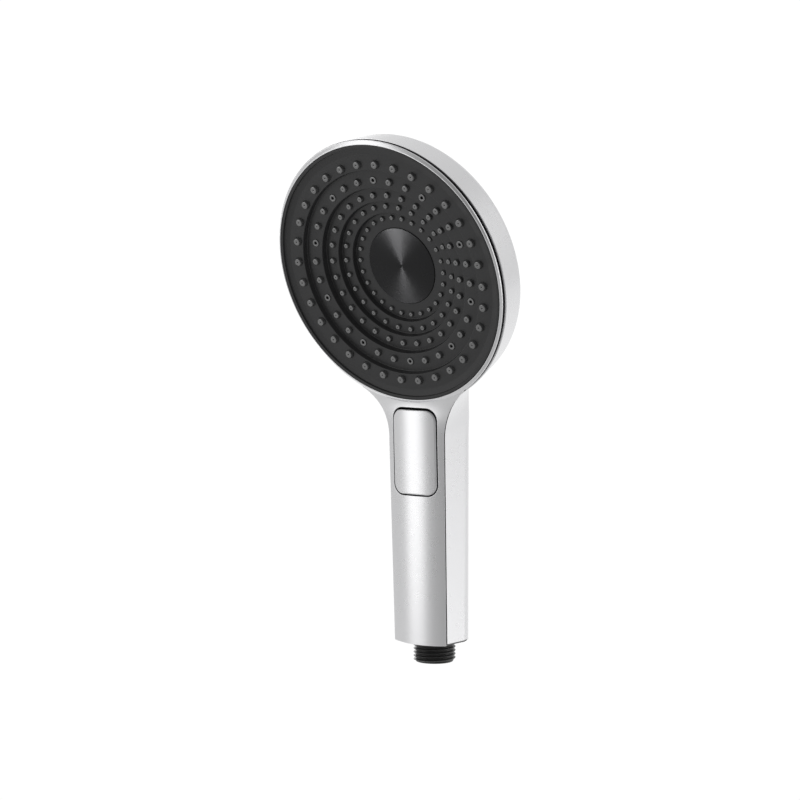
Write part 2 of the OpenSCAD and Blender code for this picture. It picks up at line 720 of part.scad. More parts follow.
module inlet_filter() {
    rim_t = 1.5;
    mesh_r = 6;
    color([0.62, 0.63, 0.65]) translate([0, 0, filter_seat - rim_t]) difference() {
        union() {
            ring(filter_bore - run, mesh_r, 0, rim_t);
            ring(mesh_r + 0.1, 0, 0.6, 1);
        }
        for (x = [-5:1:5], y = [-5:1:5]) if (norm([x, y]) < mesh_r - 0.5)
            translate([x - 0.3, y - 0.3, -1]) cube([0.6, 0.6, 4]);
    }
}

regulator_z = regulator_top - 1.4;

module flow_regulator() {
    color([0.80, 0.25, 0.20]) difference() {
        ring(regulator_bore - slack, 0, regulator_z - 1.3, regulator_z + 1.3);
        for (i = [0:5]) rotate(60 * i) translate([4.2, 0, -2]) cylinder(r = 0.8, h = 6);
        translate([0, 0, regulator_z]) ring(8, 6.3, -0.6, 0.6);
    }
}

module regulator_seal() {
    color([0.08, 0.08, 0.08]) translate([0, 0, regulator_z]) o_ring(6.75, 0.42);
}

front_casing();
rear_casing();
spray_plate();
nozzle_mat();
centre_disc();
centre_screw();
centre_insert();
water_plate();
chamber_cover();
chamber_seal();
cover_screws();
duct_seals();
selector_body();
body_screws();
selector_seal();
selector_rotor();
selector_bonnet();
bonnet_seal();
bonnet_screws();
plunger();
plunger_seal();
plunger_spring();
button_cap();
button_lever();
pivot_pin();
inlet_tube();
tube_seals();
inlet_filter();
flow_regulator();
regulator_seal();
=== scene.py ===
"""Looks of a handheld shower head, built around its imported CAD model.

Lengths in this script are millimetres until a mesh is made, and the frame is the CAD's: the thread's
axis is Z, the spray side faces -Y, and Z = 0 is the lower end of the grip.
"""

import math

import bmesh
import bpy
import numpy as np
from mathutils import Matrix, Vector
from mathutils.geometry import delaunay_2d_cdt


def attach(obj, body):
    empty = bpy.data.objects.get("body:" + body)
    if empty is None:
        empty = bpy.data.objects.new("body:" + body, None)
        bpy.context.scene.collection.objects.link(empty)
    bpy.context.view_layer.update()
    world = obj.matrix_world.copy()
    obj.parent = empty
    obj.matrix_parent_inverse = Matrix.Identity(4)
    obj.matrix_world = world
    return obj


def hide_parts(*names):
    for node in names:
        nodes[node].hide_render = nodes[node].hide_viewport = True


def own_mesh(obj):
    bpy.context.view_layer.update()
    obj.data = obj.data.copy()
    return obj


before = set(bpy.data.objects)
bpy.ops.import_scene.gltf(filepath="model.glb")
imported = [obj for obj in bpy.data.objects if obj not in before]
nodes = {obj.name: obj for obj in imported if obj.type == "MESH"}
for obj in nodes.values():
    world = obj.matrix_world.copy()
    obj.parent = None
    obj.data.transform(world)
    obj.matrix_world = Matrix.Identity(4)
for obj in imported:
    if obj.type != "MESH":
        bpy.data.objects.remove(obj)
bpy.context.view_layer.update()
MM = 0.001

# ---- Sizes shared with the CAD ----
TILT = math.radians(18.4)       # the spray face leans forward by this
SIN, COS = math.sin(TILT), math.cos(TILT)
FACE_Y, FACE_Z = -38.4, 182.6   # centre of the spray face
GRIP_W = (31.9, 33.8)           # width at the lower end and below the neck
GRIP_FRONT, GRIP_LEAN, GRIP_BACK = 11.8, 0.033, 13.09
FRONT_BOW, BACK_EDGE_R = 2.5, 9.5
RIM_SLOPE = 1.26                # the neck's front corners run on this far behind the plate's plane
NECK_R, NECK_LOW, NECK_HIGH = 29.58, 102.1, 126.7   # fillet from the grip out to the head
NECK_END = 160                  # the grip is inside the dome by this height
SEAM_FRONT, SEAM_BACK = 0.2, 1.15   # the two sides of the seam, behind the front corners
WALL = 2.2
PLATE_R, BEZEL_R, HEAD_R, HEAD_BACK_R = 64.8, 67.1, 67.7, 65.35
RIM_R = 65.5                    # the bezel's rim slopes back from here
RIM_NARROW = 1.0                # and is this much narrower at its two sides
UNDER_RIM = 1.2                 # depth at which the neck's front runs in under the bezel
SIDE_DEPTH, EDGE_R, EDGE_ANGLE = 15.9, 5.0, math.radians(74)
LIP_R = 66.2
LIP_FRONT = (RIM_SLOPE + SEAM_BACK) * COS
WINDOW_W, WINDOW_LOW, WINDOW_HIGH, WINDOW_CORNER = 27.0, 73.6, 117.0, 6.0
RING_COUNT = (32, 30, 28, 26, 26)
RING_R = (55.1, 46.2, 38.0, 31.5, 24.8)
TERRACE_H = (1.7, 4.4, 7.4, 10.1, 12.7)
STEP_R = (52.0, 42.3, 34.6, 27.9)
NOZZLE_R = (2.1, 1.85, 1.6, 1.4, 1.25)
NOZZLE_H = (1.5, 1.4, 1.3, 1.2, 1.1)
DISC_R, DISC_TOP, DISC_SEAT = 19.4, 12.35, 13.6
HOLE_GAP = 0.1                  # gap between a nozzle and its hole
THREAD_R, THREAD_PITCH, NIPPLE = 10.4775, 1.8143, 10.6
SELECTOR_Z = 105                # height of the selector's and the plunger's axis

# Local frame of the spray face: x as the object's, y down the face, z into the head.
FACE = Matrix((
    (1, 0, 0, 0),
    (0, SIN, COS, FACE_Y * MM),
    (0, -COS, SIN, FACE_Z * MM),
    (0, 0, 0, 1),
))


def to_row(points):
    """Takes (x, way down the face, depth into the head) to the row frame."""
    return [(x, FACE_Y + s * SIN + h * COS, FACE_Z - s * COS + h * SIN) for x, s, h in points]


def to_face(y, z):
    """Way down the face and depth into the head, from the row frame's y and z."""
    y, z = y - FACE_Y, z - FACE_Z
    return y * SIN - z * COS, y * COS + z * SIN


# ---- Materials: every one varies over its surface through its own nodes ----
def finish(name, colour, rough, metallic=0.0, tint=0.06, grain=700, cloud=18, rough_span=0.04,
           bump=0.000004, **sockets):
    """Fine grain and broad clouds in colour, roughness and relief."""
    mat = bpy.data.materials.new(name)
    mat.use_nodes = True
    tree = mat.node_tree
    tree.nodes.clear()
    new = tree.nodes.new
    link = tree.links.new
    out = new("ShaderNodeOutputMaterial")
    bsdf = new("ShaderNodeBsdfPrincipled")
    coord = new("ShaderNodeTexCoord")
    fine = new("ShaderNodeTexNoise")
    fine.inputs["Scale"].default_value = grain
    fine.inputs["Detail"].default_value = 5
    broad = new("ShaderNodeTexNoise")
    broad.inputs["Scale"].default_value = cloud
    broad.inputs["Detail"].default_value = 3
    both = new("ShaderNodeMath")
    both.operation = "MULTIPLY_ADD"
    both.inputs[1].default_value = 0.5
    half = new("ShaderNodeMath")
    half.operation = "MULTIPLY"
    half.inputs[1].default_value = 0.5
    mix = new("ShaderNodeMix")
    mix.data_type = "RGBA"
    mix.inputs["A"].default_value = (*[c * (1 - tint) for c in colour], 1)
    mix.inputs["B"].default_value = (*[min(1, c * (1 + tint)) for c in colour], 1)
    span = new("ShaderNodeMapRange")
    span.inputs["From Min"].default_value = 0.3
    span.inputs["From Max"].default_value = 0.7
    span.inputs["To Min"].default_value = max(0.02, rough - rough_span)
    span.inputs["To Max"].default_value = min(1, rough + rough_span)
    relief = new("ShaderNodeBump")
    relief.inputs["Strength"].default_value = 1.0
    relief.inputs["Distance"].default_value = bump
    link(coord.outputs["Object"], fine.inputs["Vector"])
    link(coord.outputs["Object"], broad.inputs["Vector"])
    link(fine.outputs["Fac"], half.inputs[0])
    link(broad.outputs["Fac"], both.inputs[0])
    link(half.outputs[0], both.inputs[2])
    link(both.outputs[0], mix.inputs["Factor"])
    link(both.outputs[0], span.inputs["Value"])
    link(fine.outputs["Fac"], relief.inputs["Height"])
    link(mix.outputs["Result"], bsdf.inputs["Base Color"])
    link(span.outputs["Result"], bsdf.inputs["Roughness"])
    link(relief.outputs["Normal"], bsdf.inputs["Normal"])
    link(bsdf.outputs["BSDF"], out.inputs["Surface"])
    bsdf.inputs["Metallic"].default_value = metallic
    for socket, value in sockets.items():
        bsdf.inputs[socket.replace("_", " ")].default_value = value
    return mat


def spun(mat, turns, rotation):
    """Adds the fine rings of a turned face, whose shine fans out from its axis."""
    tree = mat.node_tree
    bsdf = next(n for n in tree.nodes if n.type == "BSDF_PRINCIPLED")
    relief = next(n for n in tree.nodes if n.type == "BUMP")
    coord = next(n for n in tree.nodes if n.type == "TEX_COORD")
    rings = tree.nodes.new("ShaderNodeTexWave")
    rings.wave_type = "RINGS"
    rings.rings_direction = "Z"
    rings.inputs["Scale"].default_value = turns
    rings.inputs["Distortion"].default_value = 0.6
    rings.inputs["Detail"].default_value = 3
    tangent = tree.nodes.new("ShaderNodeTangent")
    tangent.direction_type = "RADIAL"
    tangent.axis = "Z"
    tree.links.new(coord.outputs["Object"], rings.inputs["Vector"])
    tree.links.new(rings.outputs["Fac"], relief.inputs["Height"])
    tree.links.new(tangent.outputs["Tangent"], bsdf.inputs["Tangent"])
    bsdf.inputs["Anisotropic"].default_value = 0.93
    bsdf.inputs["Anisotropic Rotation"].default_value = rotation
    return mat


chrome = finish("satin_chrome", (0.80, 0.80, 0.81), 0.28, 1.0, tint=0.015, rough_span=0.015,
                bump=0.0000002, grain=300)
face_black = finish("face_plastic", (0.024, 0.024, 0.025), 0.42, tint=0.15, bump=0.00001, grain=1500)
silicone = finish("silicone", (0.045, 0.045, 0.046), 0.30, tint=0.12, grain=900, Coat_Weight=1.0,
                  Coat_IOR=2.2, Coat_Roughness=0.1)
gunmetal = spun(finish("brushed_gunmetal", (0.033, 0.033, 0.034), 0.30, 1.0, tint=0.1, bump=0.000003),
                900, 0.25)
inlet_black = finish("inlet_plastic", (0.028, 0.028, 0.028), 0.3, tint=0.2, bump=0.000012, grain=1200)
# dark plastic of the inner parts; the casings also take it as painted shade on walls deep in their gaps
inner_plastic = finish("inner_plastic", (0.03, 0.03, 0.033), 0.5, tint=0.15, bump=0.00002)
steel = finish("stainless", (0.62, 0.61, 0.60), 0.28, 1.0, tint=0.05, rough_span=0.08)
brass = finish("brass", (0.72, 0.52, 0.22), 0.30, 1.0, tint=0.08, rough_span=0.08)
acetal = finish("acetal", (0.78, 0.77, 0.73), 0.42, tint=0.03, Subsurface_Weight=0.15,
                Subsurface_Scale=0.001)
rubber = finish("seal_rubber", (0.02, 0.02, 0.02), 0.55, tint=0.25, bump=0.00002)
mesh_steel = finish("filter_steel", (0.52, 0.53, 0.54), 0.35, 1.0, tint=0.08, rough_span=0.1)
limiter = finish("regulator_plastic", (0.55, 0.07, 0.05), 0.4, tint=0.1)

CARRIED = {
    "centre_screw": steel, "centre_insert": brass, "water_plate": inner_plastic,
    "chamber_cover": inner_plastic, "chamber_seal": rubber, "cover_screws": steel, "duct_seals": rubber,
    "selector_body": inner_plastic, "body_screws": steel, "selector_seal": rubber,
    "selector_rotor": acetal, "selector_bonnet": inner_plastic, "bonnet_seal": rubber,
    "bonnet_screws": steel, "plunger": acetal, "plunger_seal": rubber,
    "button_lever": inner_plastic, "pivot_pin": steel, "tube_seals": rubber,
    "inlet_filter": mesh_steel, "flow_regulator": limiter, "regulator_seal": rubber,
}
for node_name, mat in CARRIED.items():
    mesh = nodes[node_name].data
    mesh.materials.clear()
    mesh.materials.append(mat)


# ---- Mesh helpers ----
def piece(node, build, mat, body, place=None, sharp=35):
    """The mesh, built in millimetres, that stands for a CAD node and rides on its body."""
    name = node + "_skin"
    mesh = bpy.data.meshes.new(name)
    mesh.from_pydata([(v[0] * MM, v[1] * MM, v[2] * MM) for v in build.verts], [], build.faces)
    bm = bmesh.new()
    bm.from_mesh(mesh)
    bmesh.ops.remove_doubles(bm, verts=bm.verts, dist=1e-6)
    bmesh.ops.dissolve_degenerate(bm, edges=bm.edges, dist=1e-7)
    bmesh.ops.recalc_face_normals(bm, faces=bm.faces)
    bm.to_mesh(mesh)
    bm.free()
    mesh.shade_smooth()
    mesh.set_sharp_from_angle(angle=math.radians(sharp))
    mesh.materials.append(mat)
    obj = bpy.data.objects.new(name, mesh)
    bpy.context.scene.collection.objects.link(obj)
    if place is not None:
        obj.matrix_world = place
    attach(obj, body)
    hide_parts(node)
    return obj


class Build:
    """Collects patches of one piece."""

    def __init__(self):
        self.verts = []
        self.faces = []

    def add(self, verts, faces):
        start = len(self.verts)
        self.verts += [tuple(float(c) for c in v) for v in verts]
        self.faces += [[start + i for i in f] for f in faces]

    def lathe(self, profile, segments=192, closed=False, at=(0, 0, 0)):
        """Turns (radius, z) points about the local Z axis."""
        rows = len(profile)
        verts = []
        for k in range(segments):
            a = 2 * math.pi * k / segments
            verts += [(at[0] + r * math.cos(a), at[1] + r * math.sin(a), at[2] + z) for r, z in profile]
        faces = []
        for k in range(segments):
            n = (k + 1) % segments
            for j in range(rows if closed else rows - 1):
                m = (j + 1) % rows
                faces.append([k * rows + j, n * rows + j, n * rows + m, k * rows + m])
        self.add(verts, faces)

    def rows(self, loops):
        """Joins closed loops of equal length, one after the other."""
        n = len(loops[0])
        verts = [v for loop in loops for v in loop]
        faces = []
        for j in range(len(loops) - 1):
            for i in range(n):
                k = (i + 1) % n
                faces.append([j * n + i, j * n + k, (j + 1) * n + k, (j + 1) * n + i])
        self.add(verts, faces)

    def cap_ends(self, count):
        """Closes the first and the last loop of a mesh that is nothing but loops."""
        last = len(self.verts) - count
        self.faces += [list(range(count)), [last + i for i in range(count - 1, -1, -1)]]


def rounded(points, radius, steps=4):
    """Rounds the inner corners of an open outline, by one radius or by one for each corner."""
    out = [points[0]]
    for i in range(1, len(points) - 1):
        rad = radius if isinstance(radius, (int, float)) else radius[i - 1]
        p, a, b = (np.array(points[j], float) for j in (i, i - 1, i + 1))
        u, v = a - p, b - p
        lu, lv = np.linalg.norm(u), np.linalg.norm(v)
        u, v = u / lu, v / lv
        turn = math.acos(max(-1, min(1, float(u @ v))))
        reach = min(rad / math.tan(turn / 2), 0.48 * lu, 0.48 * lv) if rad > 0 else 0
        if reach < 1e-4:
            out.append(tuple(p))
            continue
        rad = reach * math.tan(turn / 2)
        centre = p + (u + v) / np.linalg.norm(u + v) * rad / math.sin(turn / 2)
        start, end = p + u * reach - centre, p + v * reach - centre
        sweep = math.pi - turn
        for k in range(steps + 1):
            t = k / steps
            w = (math.sin((1 - t) * sweep) * start + math.sin(t * sweep) * end) / math.sin(sweep)
            out.append(tuple(centre + w))
    out.append(points[-1])
    return out


def triangulate(loops, inner, keep):
    """Triangles of the flat area that the closed loops bound. keep tells which centroids are inside."""
    points, edges = [], []
    for loop in loops:
        n = len(points)
        points += [Vector(p) for p in loop]
        edges += [(n + i, n + (i + 1) % len(loop)) for i in range(len(loop))]
    points += [Vector(p) for p in inner]
    verts, _, faces, _, _, _ = delaunay_2d_cdt(points, edges, [], 0, 1e-5)
    flat = np.array([tuple(v) for v in verts])
    tris = np.array([list(f) for f in faces if len(f) == 3])
    centre = flat[tris].mean(1)
    return flat, tris[keep(centre)]


def inside(poly, pts):
    """Which points lie in a polygon."""
    poly = np.array(poly, float)
    hit = np.zeros(len(pts), bool)
    for (x0, y0), (x1, y1) in zip(poly, np.roll(poly, -1, 0)):
        cross = (y0 > pts[:, 1]) != (y1 > pts[:, 1])
        with np.errstate(divide="ignore", invalid="ignore"):
            x = (x1 - x0) * (pts[:, 1] - y0) / (y1 - y0) + x0
        hit ^= cross & (pts[:, 0] < x)
    return hit


def shrink(loop, d):
    """A closed, anticlockwise loop moved inwards by d along its corner bisectors."""
    p = np.array(loop, float)
    e = np.roll(p, -1, 0) - p
    e /= np.linalg.norm(e, axis=1)[:, None]
    n = np.c_[-e[:, 1], e[:, 0]]
    m = n + np.roll(n, 1, 0)
    m /= np.maximum((m * n).sum(1), 0.3)[:, None]
    return p + m * d


def surface_normals(mesh, height):
    """Gives the corners on the surface y = height(x, z) that surface's own normals."""
    smooth = [tuple(c.vector) for c in mesh.corner_normals]
    for poly in mesh.polygons:
        for k in poly.loop_indices:
            x, y, z = mesh.vertices[mesh.loops[k].vertex_index].co / MM
            if abs(y - height(x, z)) < 0.004:
                n = Vector(((height(x + 0.01, z) - height(x - 0.01, z)) / 0.02, -1,
                            (height(x, z + 0.01) - height(x, z - 0.01)) / 0.02)).normalized()
                if n.dot(poly.normal) > 0.75:
                    smooth[k] = tuple(n)
    mesh.normals_split_custom_set(smooth)


def darken(mesh, bare_and_shaded):
    """Gives the faces that the mask picks the dark plastic: bare plastic inside, which nobody plates, and
    painted shade on walls deep in gaps.
    """
    mesh.materials.append(inner_plastic)
    for poly in mesh.polygons:
        poly.material_index = int(bool(bare_and_shaded(tuple(poly.center / MM), poly.normal)))


# ---- Outline of the grip, as functions of height ----
def ease(t):
    c = np.clip(t, 0, 1)
    return c * c * (3 - 2 * c)


def corner_y(z):
    """Y of the front corners, which turn softly from the grip's line to the head's plane."""
    plane = FACE_Y + (FACE_Z - z) * math.tan(TILT) + RIM_SLOPE
    grip = -GRIP_FRONT - GRIP_LEAN * z
    soft = 2.2
    k = np.maximum(soft - np.abs(grip - plane), 0)
    return np.minimum(grip, plane) - k * k / (4 * soft)


def bow(z):
    """How far the front stands out in its middle."""
    return FRONT_BOW * (1 - 0.5 * ease((z - 100) / 21))


def foot(x):
    """Height of the grip's lower edge, which hangs a little lower in the middle."""
    return -0.75 * np.maximum(1 - (x / 16.0) ** 2, 0)


def flare(z):
    """How far the neck's fillet stands out beyond the grip's side."""
    rise = (np.clip(z, NECK_LOW, NECK_HIGH) - NECK_LOW) / COS
    return NECK_R - np.sqrt(NECK_R ** 2 - rise ** 2)


def front_half(z):
    return (GRIP_W[0] + (GRIP_W[1] - GRIP_W[0]) * np.minimum(z, 100) / 100) / 2 + flare(z)


def back_half(z):
    return GRIP_W[0] / 2 + 0.25 * flare(z)


def back_y(z):
    return GRIP_BACK - 19 * ease((z - 108) / 56) - 0.02 * np.maximum(z - 140, 0) ** 2


# ---- Rear casing: grip and head run into each other on one smooth surface ----
def grip_field(p):
    """Distance to the grip's sides and back, for points (x, y, z)."""
    x, y, z = np.abs(p[:, 0]), p[:, 1], p[:, 2]
    zc = np.clip(z, 0, NECK_END)
    # the flare ends softly inside the head
    zf = np.minimum(zc, NECK_HIGH) - np.maximum(3 - np.abs(zc - NECK_HIGH), 0) ** 2 / 12
    wf, wb, yf, yb = front_half(zf), back_half(zf), corner_y(zc), back_y(zc)
    cx, cy, r = wb - BACK_EDGE_R, yb - BACK_EDGE_R, BACK_EDGE_R
    dx, dy = cx - wf, cy - yf
    reach = np.hypot(dx, dy)
    # the side is the line from the front corner that just touches the back edge's circle
    lean = np.arctan2(dy, dx) - np.arcsin(np.clip(r / reach, -1, 1))
    nx, ny = np.sin(lean), -np.cos(lean)
    side = (x - wf) * nx + (y - yf) * ny
    back = y - yb
    turn = np.arctan2(y - cy, x - cx)
    corner = np.hypot(x - cx, y - cy) - r
    low = np.arctan2(ny, nx)
    d = np.where(turn < low, side, np.where(turn < math.pi / 2, corner, back))
    d = np.where((x < cx) & (y < cy), np.maximum(side, back), d)
    rho = 0.7                   # rounding of the lower end
    end = foot(x) - z
    u, v = np.maximum(d + rho, 0), np.maximum(end + rho, 0)
    d = np.minimum(np.maximum(d, end), -rho) + np.hypot(u, v)
    front = (yf - 7) - y
    return np.maximum(np.maximum(d, front), z - NECK_END)


def head_field(p):
    """Distance to the head's side, back edge and dome."""
    s, h = to_face(p[:, 1], p[:, 2])
    r = np.hypot(p[:, 0], s)
    cr = HEAD_BACK_R - EDGE_R
    tip = (cr + EDGE_R * math.cos(EDGE_ANGLE), SIDE_DEPTH + EDGE_R * math.sin(EDGE_ANGLE))
    dome_r = tip[0] / math.cos(EDGE_ANGLE)
    dome_c = tip[1] - dome_r * math.sin(EDGE_ANGLE)
    # the side tapers from the lip to where it touches the back edge's circle
    start = (HEAD_R, 0.8)
    dx, dy = cr - start[0], SIDE_DEPTH - start[1]
    lean = math.atan2(dy, dx) - math.asin(EDGE_R / math.hypot(dx, dy))
    nx, ny = math.sin(lean), -math.cos(lean)
    taper = (r - start[0]) * nx + (h - start[1]) * ny
    turn = np.arctan2(h - SIDE_DEPTH, r - cr)
    edge = np.hypot(r - cr, h - SIDE_DEPTH) - EDGE_R
    dome = np.hypot(r, h - dome_c) - dome_r
    d = np.where(turn < math.atan2(ny, nx), taper, np.where(turn < EDGE_ANGLE, edge, dome))
    return np.maximum(d, -7 - h)


def body_field(p):
    """Both together. The fillet between them is narrow at the seam and wide on the back."""
    a, b = grip_field(p), head_field(p)
    h = to_face(p[:, 1], p[:, 2])[1]
    blend = 0.8 + 7.2 * ease((h - 4) / 12)
    k = np.maximum(blend - np.abs(a - b), 0)
    return np.minimum(a, b) - k * k / (4 * blend)


def slope(p, step=0.02):
    """Direction in which the field grows."""
    g = np.empty_like(p)
    for i in range(3):
        q = p.copy()
        q[:, i] += step
        hi = body_field(q)
        q[:, i] -= 2 * step
        g[:, i] = (hi - body_field(q)) / (2 * step)
    return g / np.maximum(np.linalg.norm(g, axis=1), 1e-9)[:, None]


def settle(p, level, turns=6):
    """Moves points onto the surface where the field has this value."""
    for _ in range(turns):
        g = slope(p)
        p = p - np.clip(body_field(p) - level, -1.2, 1.2)[:, None] * g
    return p


def rough_body(inset):
    """A coarse closed body inside the field, for the remesher to start from."""
    build = Build()
    loops = []
    for z in [inset + 0.1, 1 + inset, *range(6, 118, 6), *range(118, 146, 3)]:
        wf, wb, yf, yb = (float(f(z)) for f in (front_half, back_half, corner_y, back_y))
        wf, wb, yf, yb = wf - inset, wb - inset, yf - 6.5 + inset, yb - inset
        r = BACK_EDGE_R - inset
        loop = [(wf, yf, z)]
        loop += [(wb - r + r * math.cos(a), yb - r + r * math.sin(a), z)
                 for a in np.linspace(0, math.pi / 2, 6)]
        loop += [(-x, y, zz) for x, y, zz in reversed(loop)]
        loops.append(loop)
    build.rows(loops)
    build.cap_ends(len(loops[0]))
    head = Build()
    cr = HEAD_BACK_R - EDGE_R
    profile = [(0, -6.5 + inset), (HEAD_R - inset, -6.5 + inset), (HEAD_R - inset, 3)]
    profile += [(cr + (EDGE_R - inset) * math.cos(a), SIDE_DEPTH + (EDGE_R - inset) * math.sin(a))
                for a in np.linspace(0.2, EDGE_ANGLE, 6)]
    profile += [(40, 25.5 - inset), (20, 28.5 - inset), (0, 29.4 - inset)]
    head.lathe(profile, 96)
    build.add(to_row(head.verts), head.faces)
    return build


def solid(name, build):
    """A bare mesh object in millimetres, for booleans."""
    mesh = bpy.data.meshes.new(name)
    mesh.from_pydata(build.verts, [], build.faces)
    bm = bmesh.new()
    bm.from_mesh(mesh)
    bmesh.ops.remove_doubles(bm, verts=bm.verts, dist=1e-5)
    bmesh.ops.dissolve_degenerate(bm, edges=bm.edges, dist=1e-5)
    bmesh.ops.recalc_face_normals(bm, faces=bm.faces)
    bm.to_mesh(mesh)
    bm.free()
    obj = bpy.data.objects.new(name, mesh)
    bpy.context.scene.collection.objects.link(obj)
    return obj


def bake(obj):
    """Applies the modifiers of a bare object."""
    graph = bpy.context.evaluated_depsgraph_get()
    mesh = bpy.data.meshes.new_from_object(obj.evaluated_get(graph))
    obj.modifiers.clear()
    obj.data = mesh


def smooth_body(name, level, voxel):
    """An even mesh on the surface where the field has this value."""
    obj = solid(name, rough_body(-level))
    mod = obj.modifiers.new("remesh", "REMESH")
    mod.mode = "VOXEL"
    mod.voxel_size = voxel
    bake(obj)
    mesh = obj.data
    p = np.empty(len(mesh.vertices) * 3)
    mesh.vertices.foreach_get("co", p)
    p = p.reshape(-1, 3)
    ends = np.empty(len(mesh.edges) * 2, int)
    mesh.edges.foreach_get("vertices", ends)
    ends = ends.reshape(-1, 2)
    p = settle(p, level)
    for _ in range(4):
        total = np.zeros_like(p)
        count = np.zeros(len(p))
        for a, b in ((0, 1), (1, 0)):
            np.add.at(total, ends[:, a], p[ends[:, b]])
            np.add.at(count, ends[:, a], 1)
        g = slope(p)
        shift = total / count[:, None] - p
        shift -= (shift * g).sum(1)[:, None] * g
        p = settle(p + 0.6 * shift, level, 2)
    mesh.vertices.foreach_set("co", p.ravel())
    mesh.update()
    return obj


def cut(obj, tool):
    mod = obj.modifiers.new("cut", "BOOLEAN")
    mod.operation = "DIFFERENCE"
    mod.solver = "MANIFOLD"
    mod.object = tool
    bake(obj)
    bpy.data.objects.remove(tool)


def seam_tool():
    """Everything in front of the seam, from below the grip up to the head's lip."""
    bottom, top, half_width, far = -20, 128, 60, -90
    build = Build()
    zs = [bottom, *[z for z in np.linspace(106, 130, 25) if z < top], top]
    ring = [(float(corner_y(z)) + SEAM_BACK, z) for z in zs] + [(far, top), (far, bottom)]
    build.rows([[(-half_width, y, z) for y, z in ring], [(half_width, y, z) for y, z in ring]])
    build.cap_ends(len(ring))
    return solid("seam_tool", build)


def lip_tool():
    """Everything in front of the head's lip, whose outer edge is rounded."""
    build = Build()
    build.lathe([
        (0, -12), (69, -12), (69, LIP_FRONT + 0.2), (HEAD_R - 0.22, LIP_FRONT + 0.2),
        (HEAD_R - 0.27, LIP_FRONT + 0.06), (HEAD_R - 0.42, LIP_FRONT), (LIP_R, LIP_FRONT),
        (LIP_R, LIP_FRONT + 0.5), (0, LIP_FRONT + 0.5)], 256)
    build.verts = to_row(build.verts)
    return solid("lip_tool", build)


def edge_tool(side):
    """Rounds the casing's edge beside the seam, along one side of the grip."""
    rho = 0.15
    heights = [-1.5, 0, 20, 50, 80, 98] + list(np.linspace(101, 121.5, 34))
    loops = []
    for z in heights:
        x = float(front_half(min(z, NECK_HIGH)))
        y = float(corner_y(z)) + SEAM_BACK
        ring = [(x + 0.6, y + rho)]
        ring += [(x - rho + rho * math.cos(a), y + rho - rho * math.sin(a))
                 for a in np.linspace(0, math.pi / 2, 5)]
        ring += [(x - rho, y - 0.6), (x + 0.6, y - 0.6)]
        loops.append([(side * px, py, z) for px, py in ring])
    build = Build()
    build.rows(loops)
    build.cap_ends(len(loops[0]))
    return solid("edge_tool", build)


def hole_tool():
    """The inlet's hole in the grip's lower end."""
    build = Build()
    build.lathe([(0, -3), (THREAD_R + 0.12, -3), (THREAD_R + 0.12, 6), (0, 6)], 96)
    return solid("hole_tool", build)


shell = smooth_body("rear_shell", 0.0, 1.3)
cut(shell, smooth_body("rear_hollow", -WALL, 1.6))
cut(shell, seam_tool())
cut(shell, lip_tool())
cut(shell, edge_tool(-1))
cut(shell, edge_tool(1))
cut(shell, hole_tool())


def true_normals(mesh):
    """Gives the outer skin the field's own normals, and every cut face its flat one."""
    count = len(mesh.vertices)
    p = np.empty(count * 3)
    mesh.vertices.foreach_get("co", p)
    p = p.reshape(-1, 3)
    on_skin = np.abs(body_field(p)) < 0.03
    g = slope(p)
    face = np.empty(len(mesh.polygons) * 3)
    mesh.polygons.foreach_get("normal", face)
    face = face.reshape(-1, 3)
    normals = np.empty((len(mesh.loops), 3))
    for poly in mesh.polygons:
        v = list(poly.vertices)
        flat = face[poly.index]
        span = slice(poly.loop_start, poly.loop_start + poly.loop_total)
        if on_skin[v].all() and (g[v] @ flat > 0.8).all():
            normals[span] = g[v]
        else:
            normals[span] = flat
    mesh.shade_smooth()
    mesh.normals_split_custom_set(normals.tolist())


true_normals(shell.data)
shell.data.transform(Matrix.Scale(MM, 4))
shell.name = "rear_casing_skin"
shell.data.materials.clear()
shell.data.materials.append(chrome)
shell.data.materials.append(inner_plastic)
middle = np.array([tuple(poly.center / MM) for poly in shell.data.polygons])
down, depth = to_face(middle[:, 1], middle[:, 2])
lip = (np.hypot(middle[:, 0], down) > LIP_R + 0.02) & (depth < LIP_FRONT + 0.3)
lip &= middle[:, 2] > NECK_HIGH
# the inside is bare plastic; the seam's own wall and the lip's face inside LIP_R take it as painted shade
# in the seam's gap and behind the bezel, while the lip's front outside LIP_R is plated
for poly, deep, bright in zip(shell.data.polygons, body_field(middle) < -0.12, lip):
    poly.material_index = int((deep or poly.normal.y < -0.8) and not bright)
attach(shell, "casing")
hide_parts("rear_casing")

# ---- Front casing: bowed grip front, flared neck and bezel in one ----
ROUND = 0.3                     # rounding of the front casing's edges


def window_loop(margin, corner, steps=10):
    """Anticlockwise outline of the button's window, drawn inwards by a margin."""
    w, lo, hi = WINDOW_W / 2 - margin, WINDOW_LOW + margin, WINDOW_HIGH - margin
    out = []
    for cx, cz, start in ((w - corner, hi - corner, 0), (-w + corner, hi - corner, 90),
                          (-w + corner, lo + corner, 180), (w - corner, lo + corner, 270)):
        for a in np.linspace(start, start + 90, steps):
            t = math.radians(a)
            out.append((cx + corner * math.cos(t), cz + corner * math.sin(t)))
    dense = []
    for (x0, z0), (x1, z1) in zip(out, out[1:] + out[:1]):
        n = max(1, int(math.hypot(x1 - x0, z1 - z0) / 1.6))
        dense += [(x0 + (x1 - x0) * i / n, z0 + (z1 - z0) * i / n) for i in range(n)]
    return dense


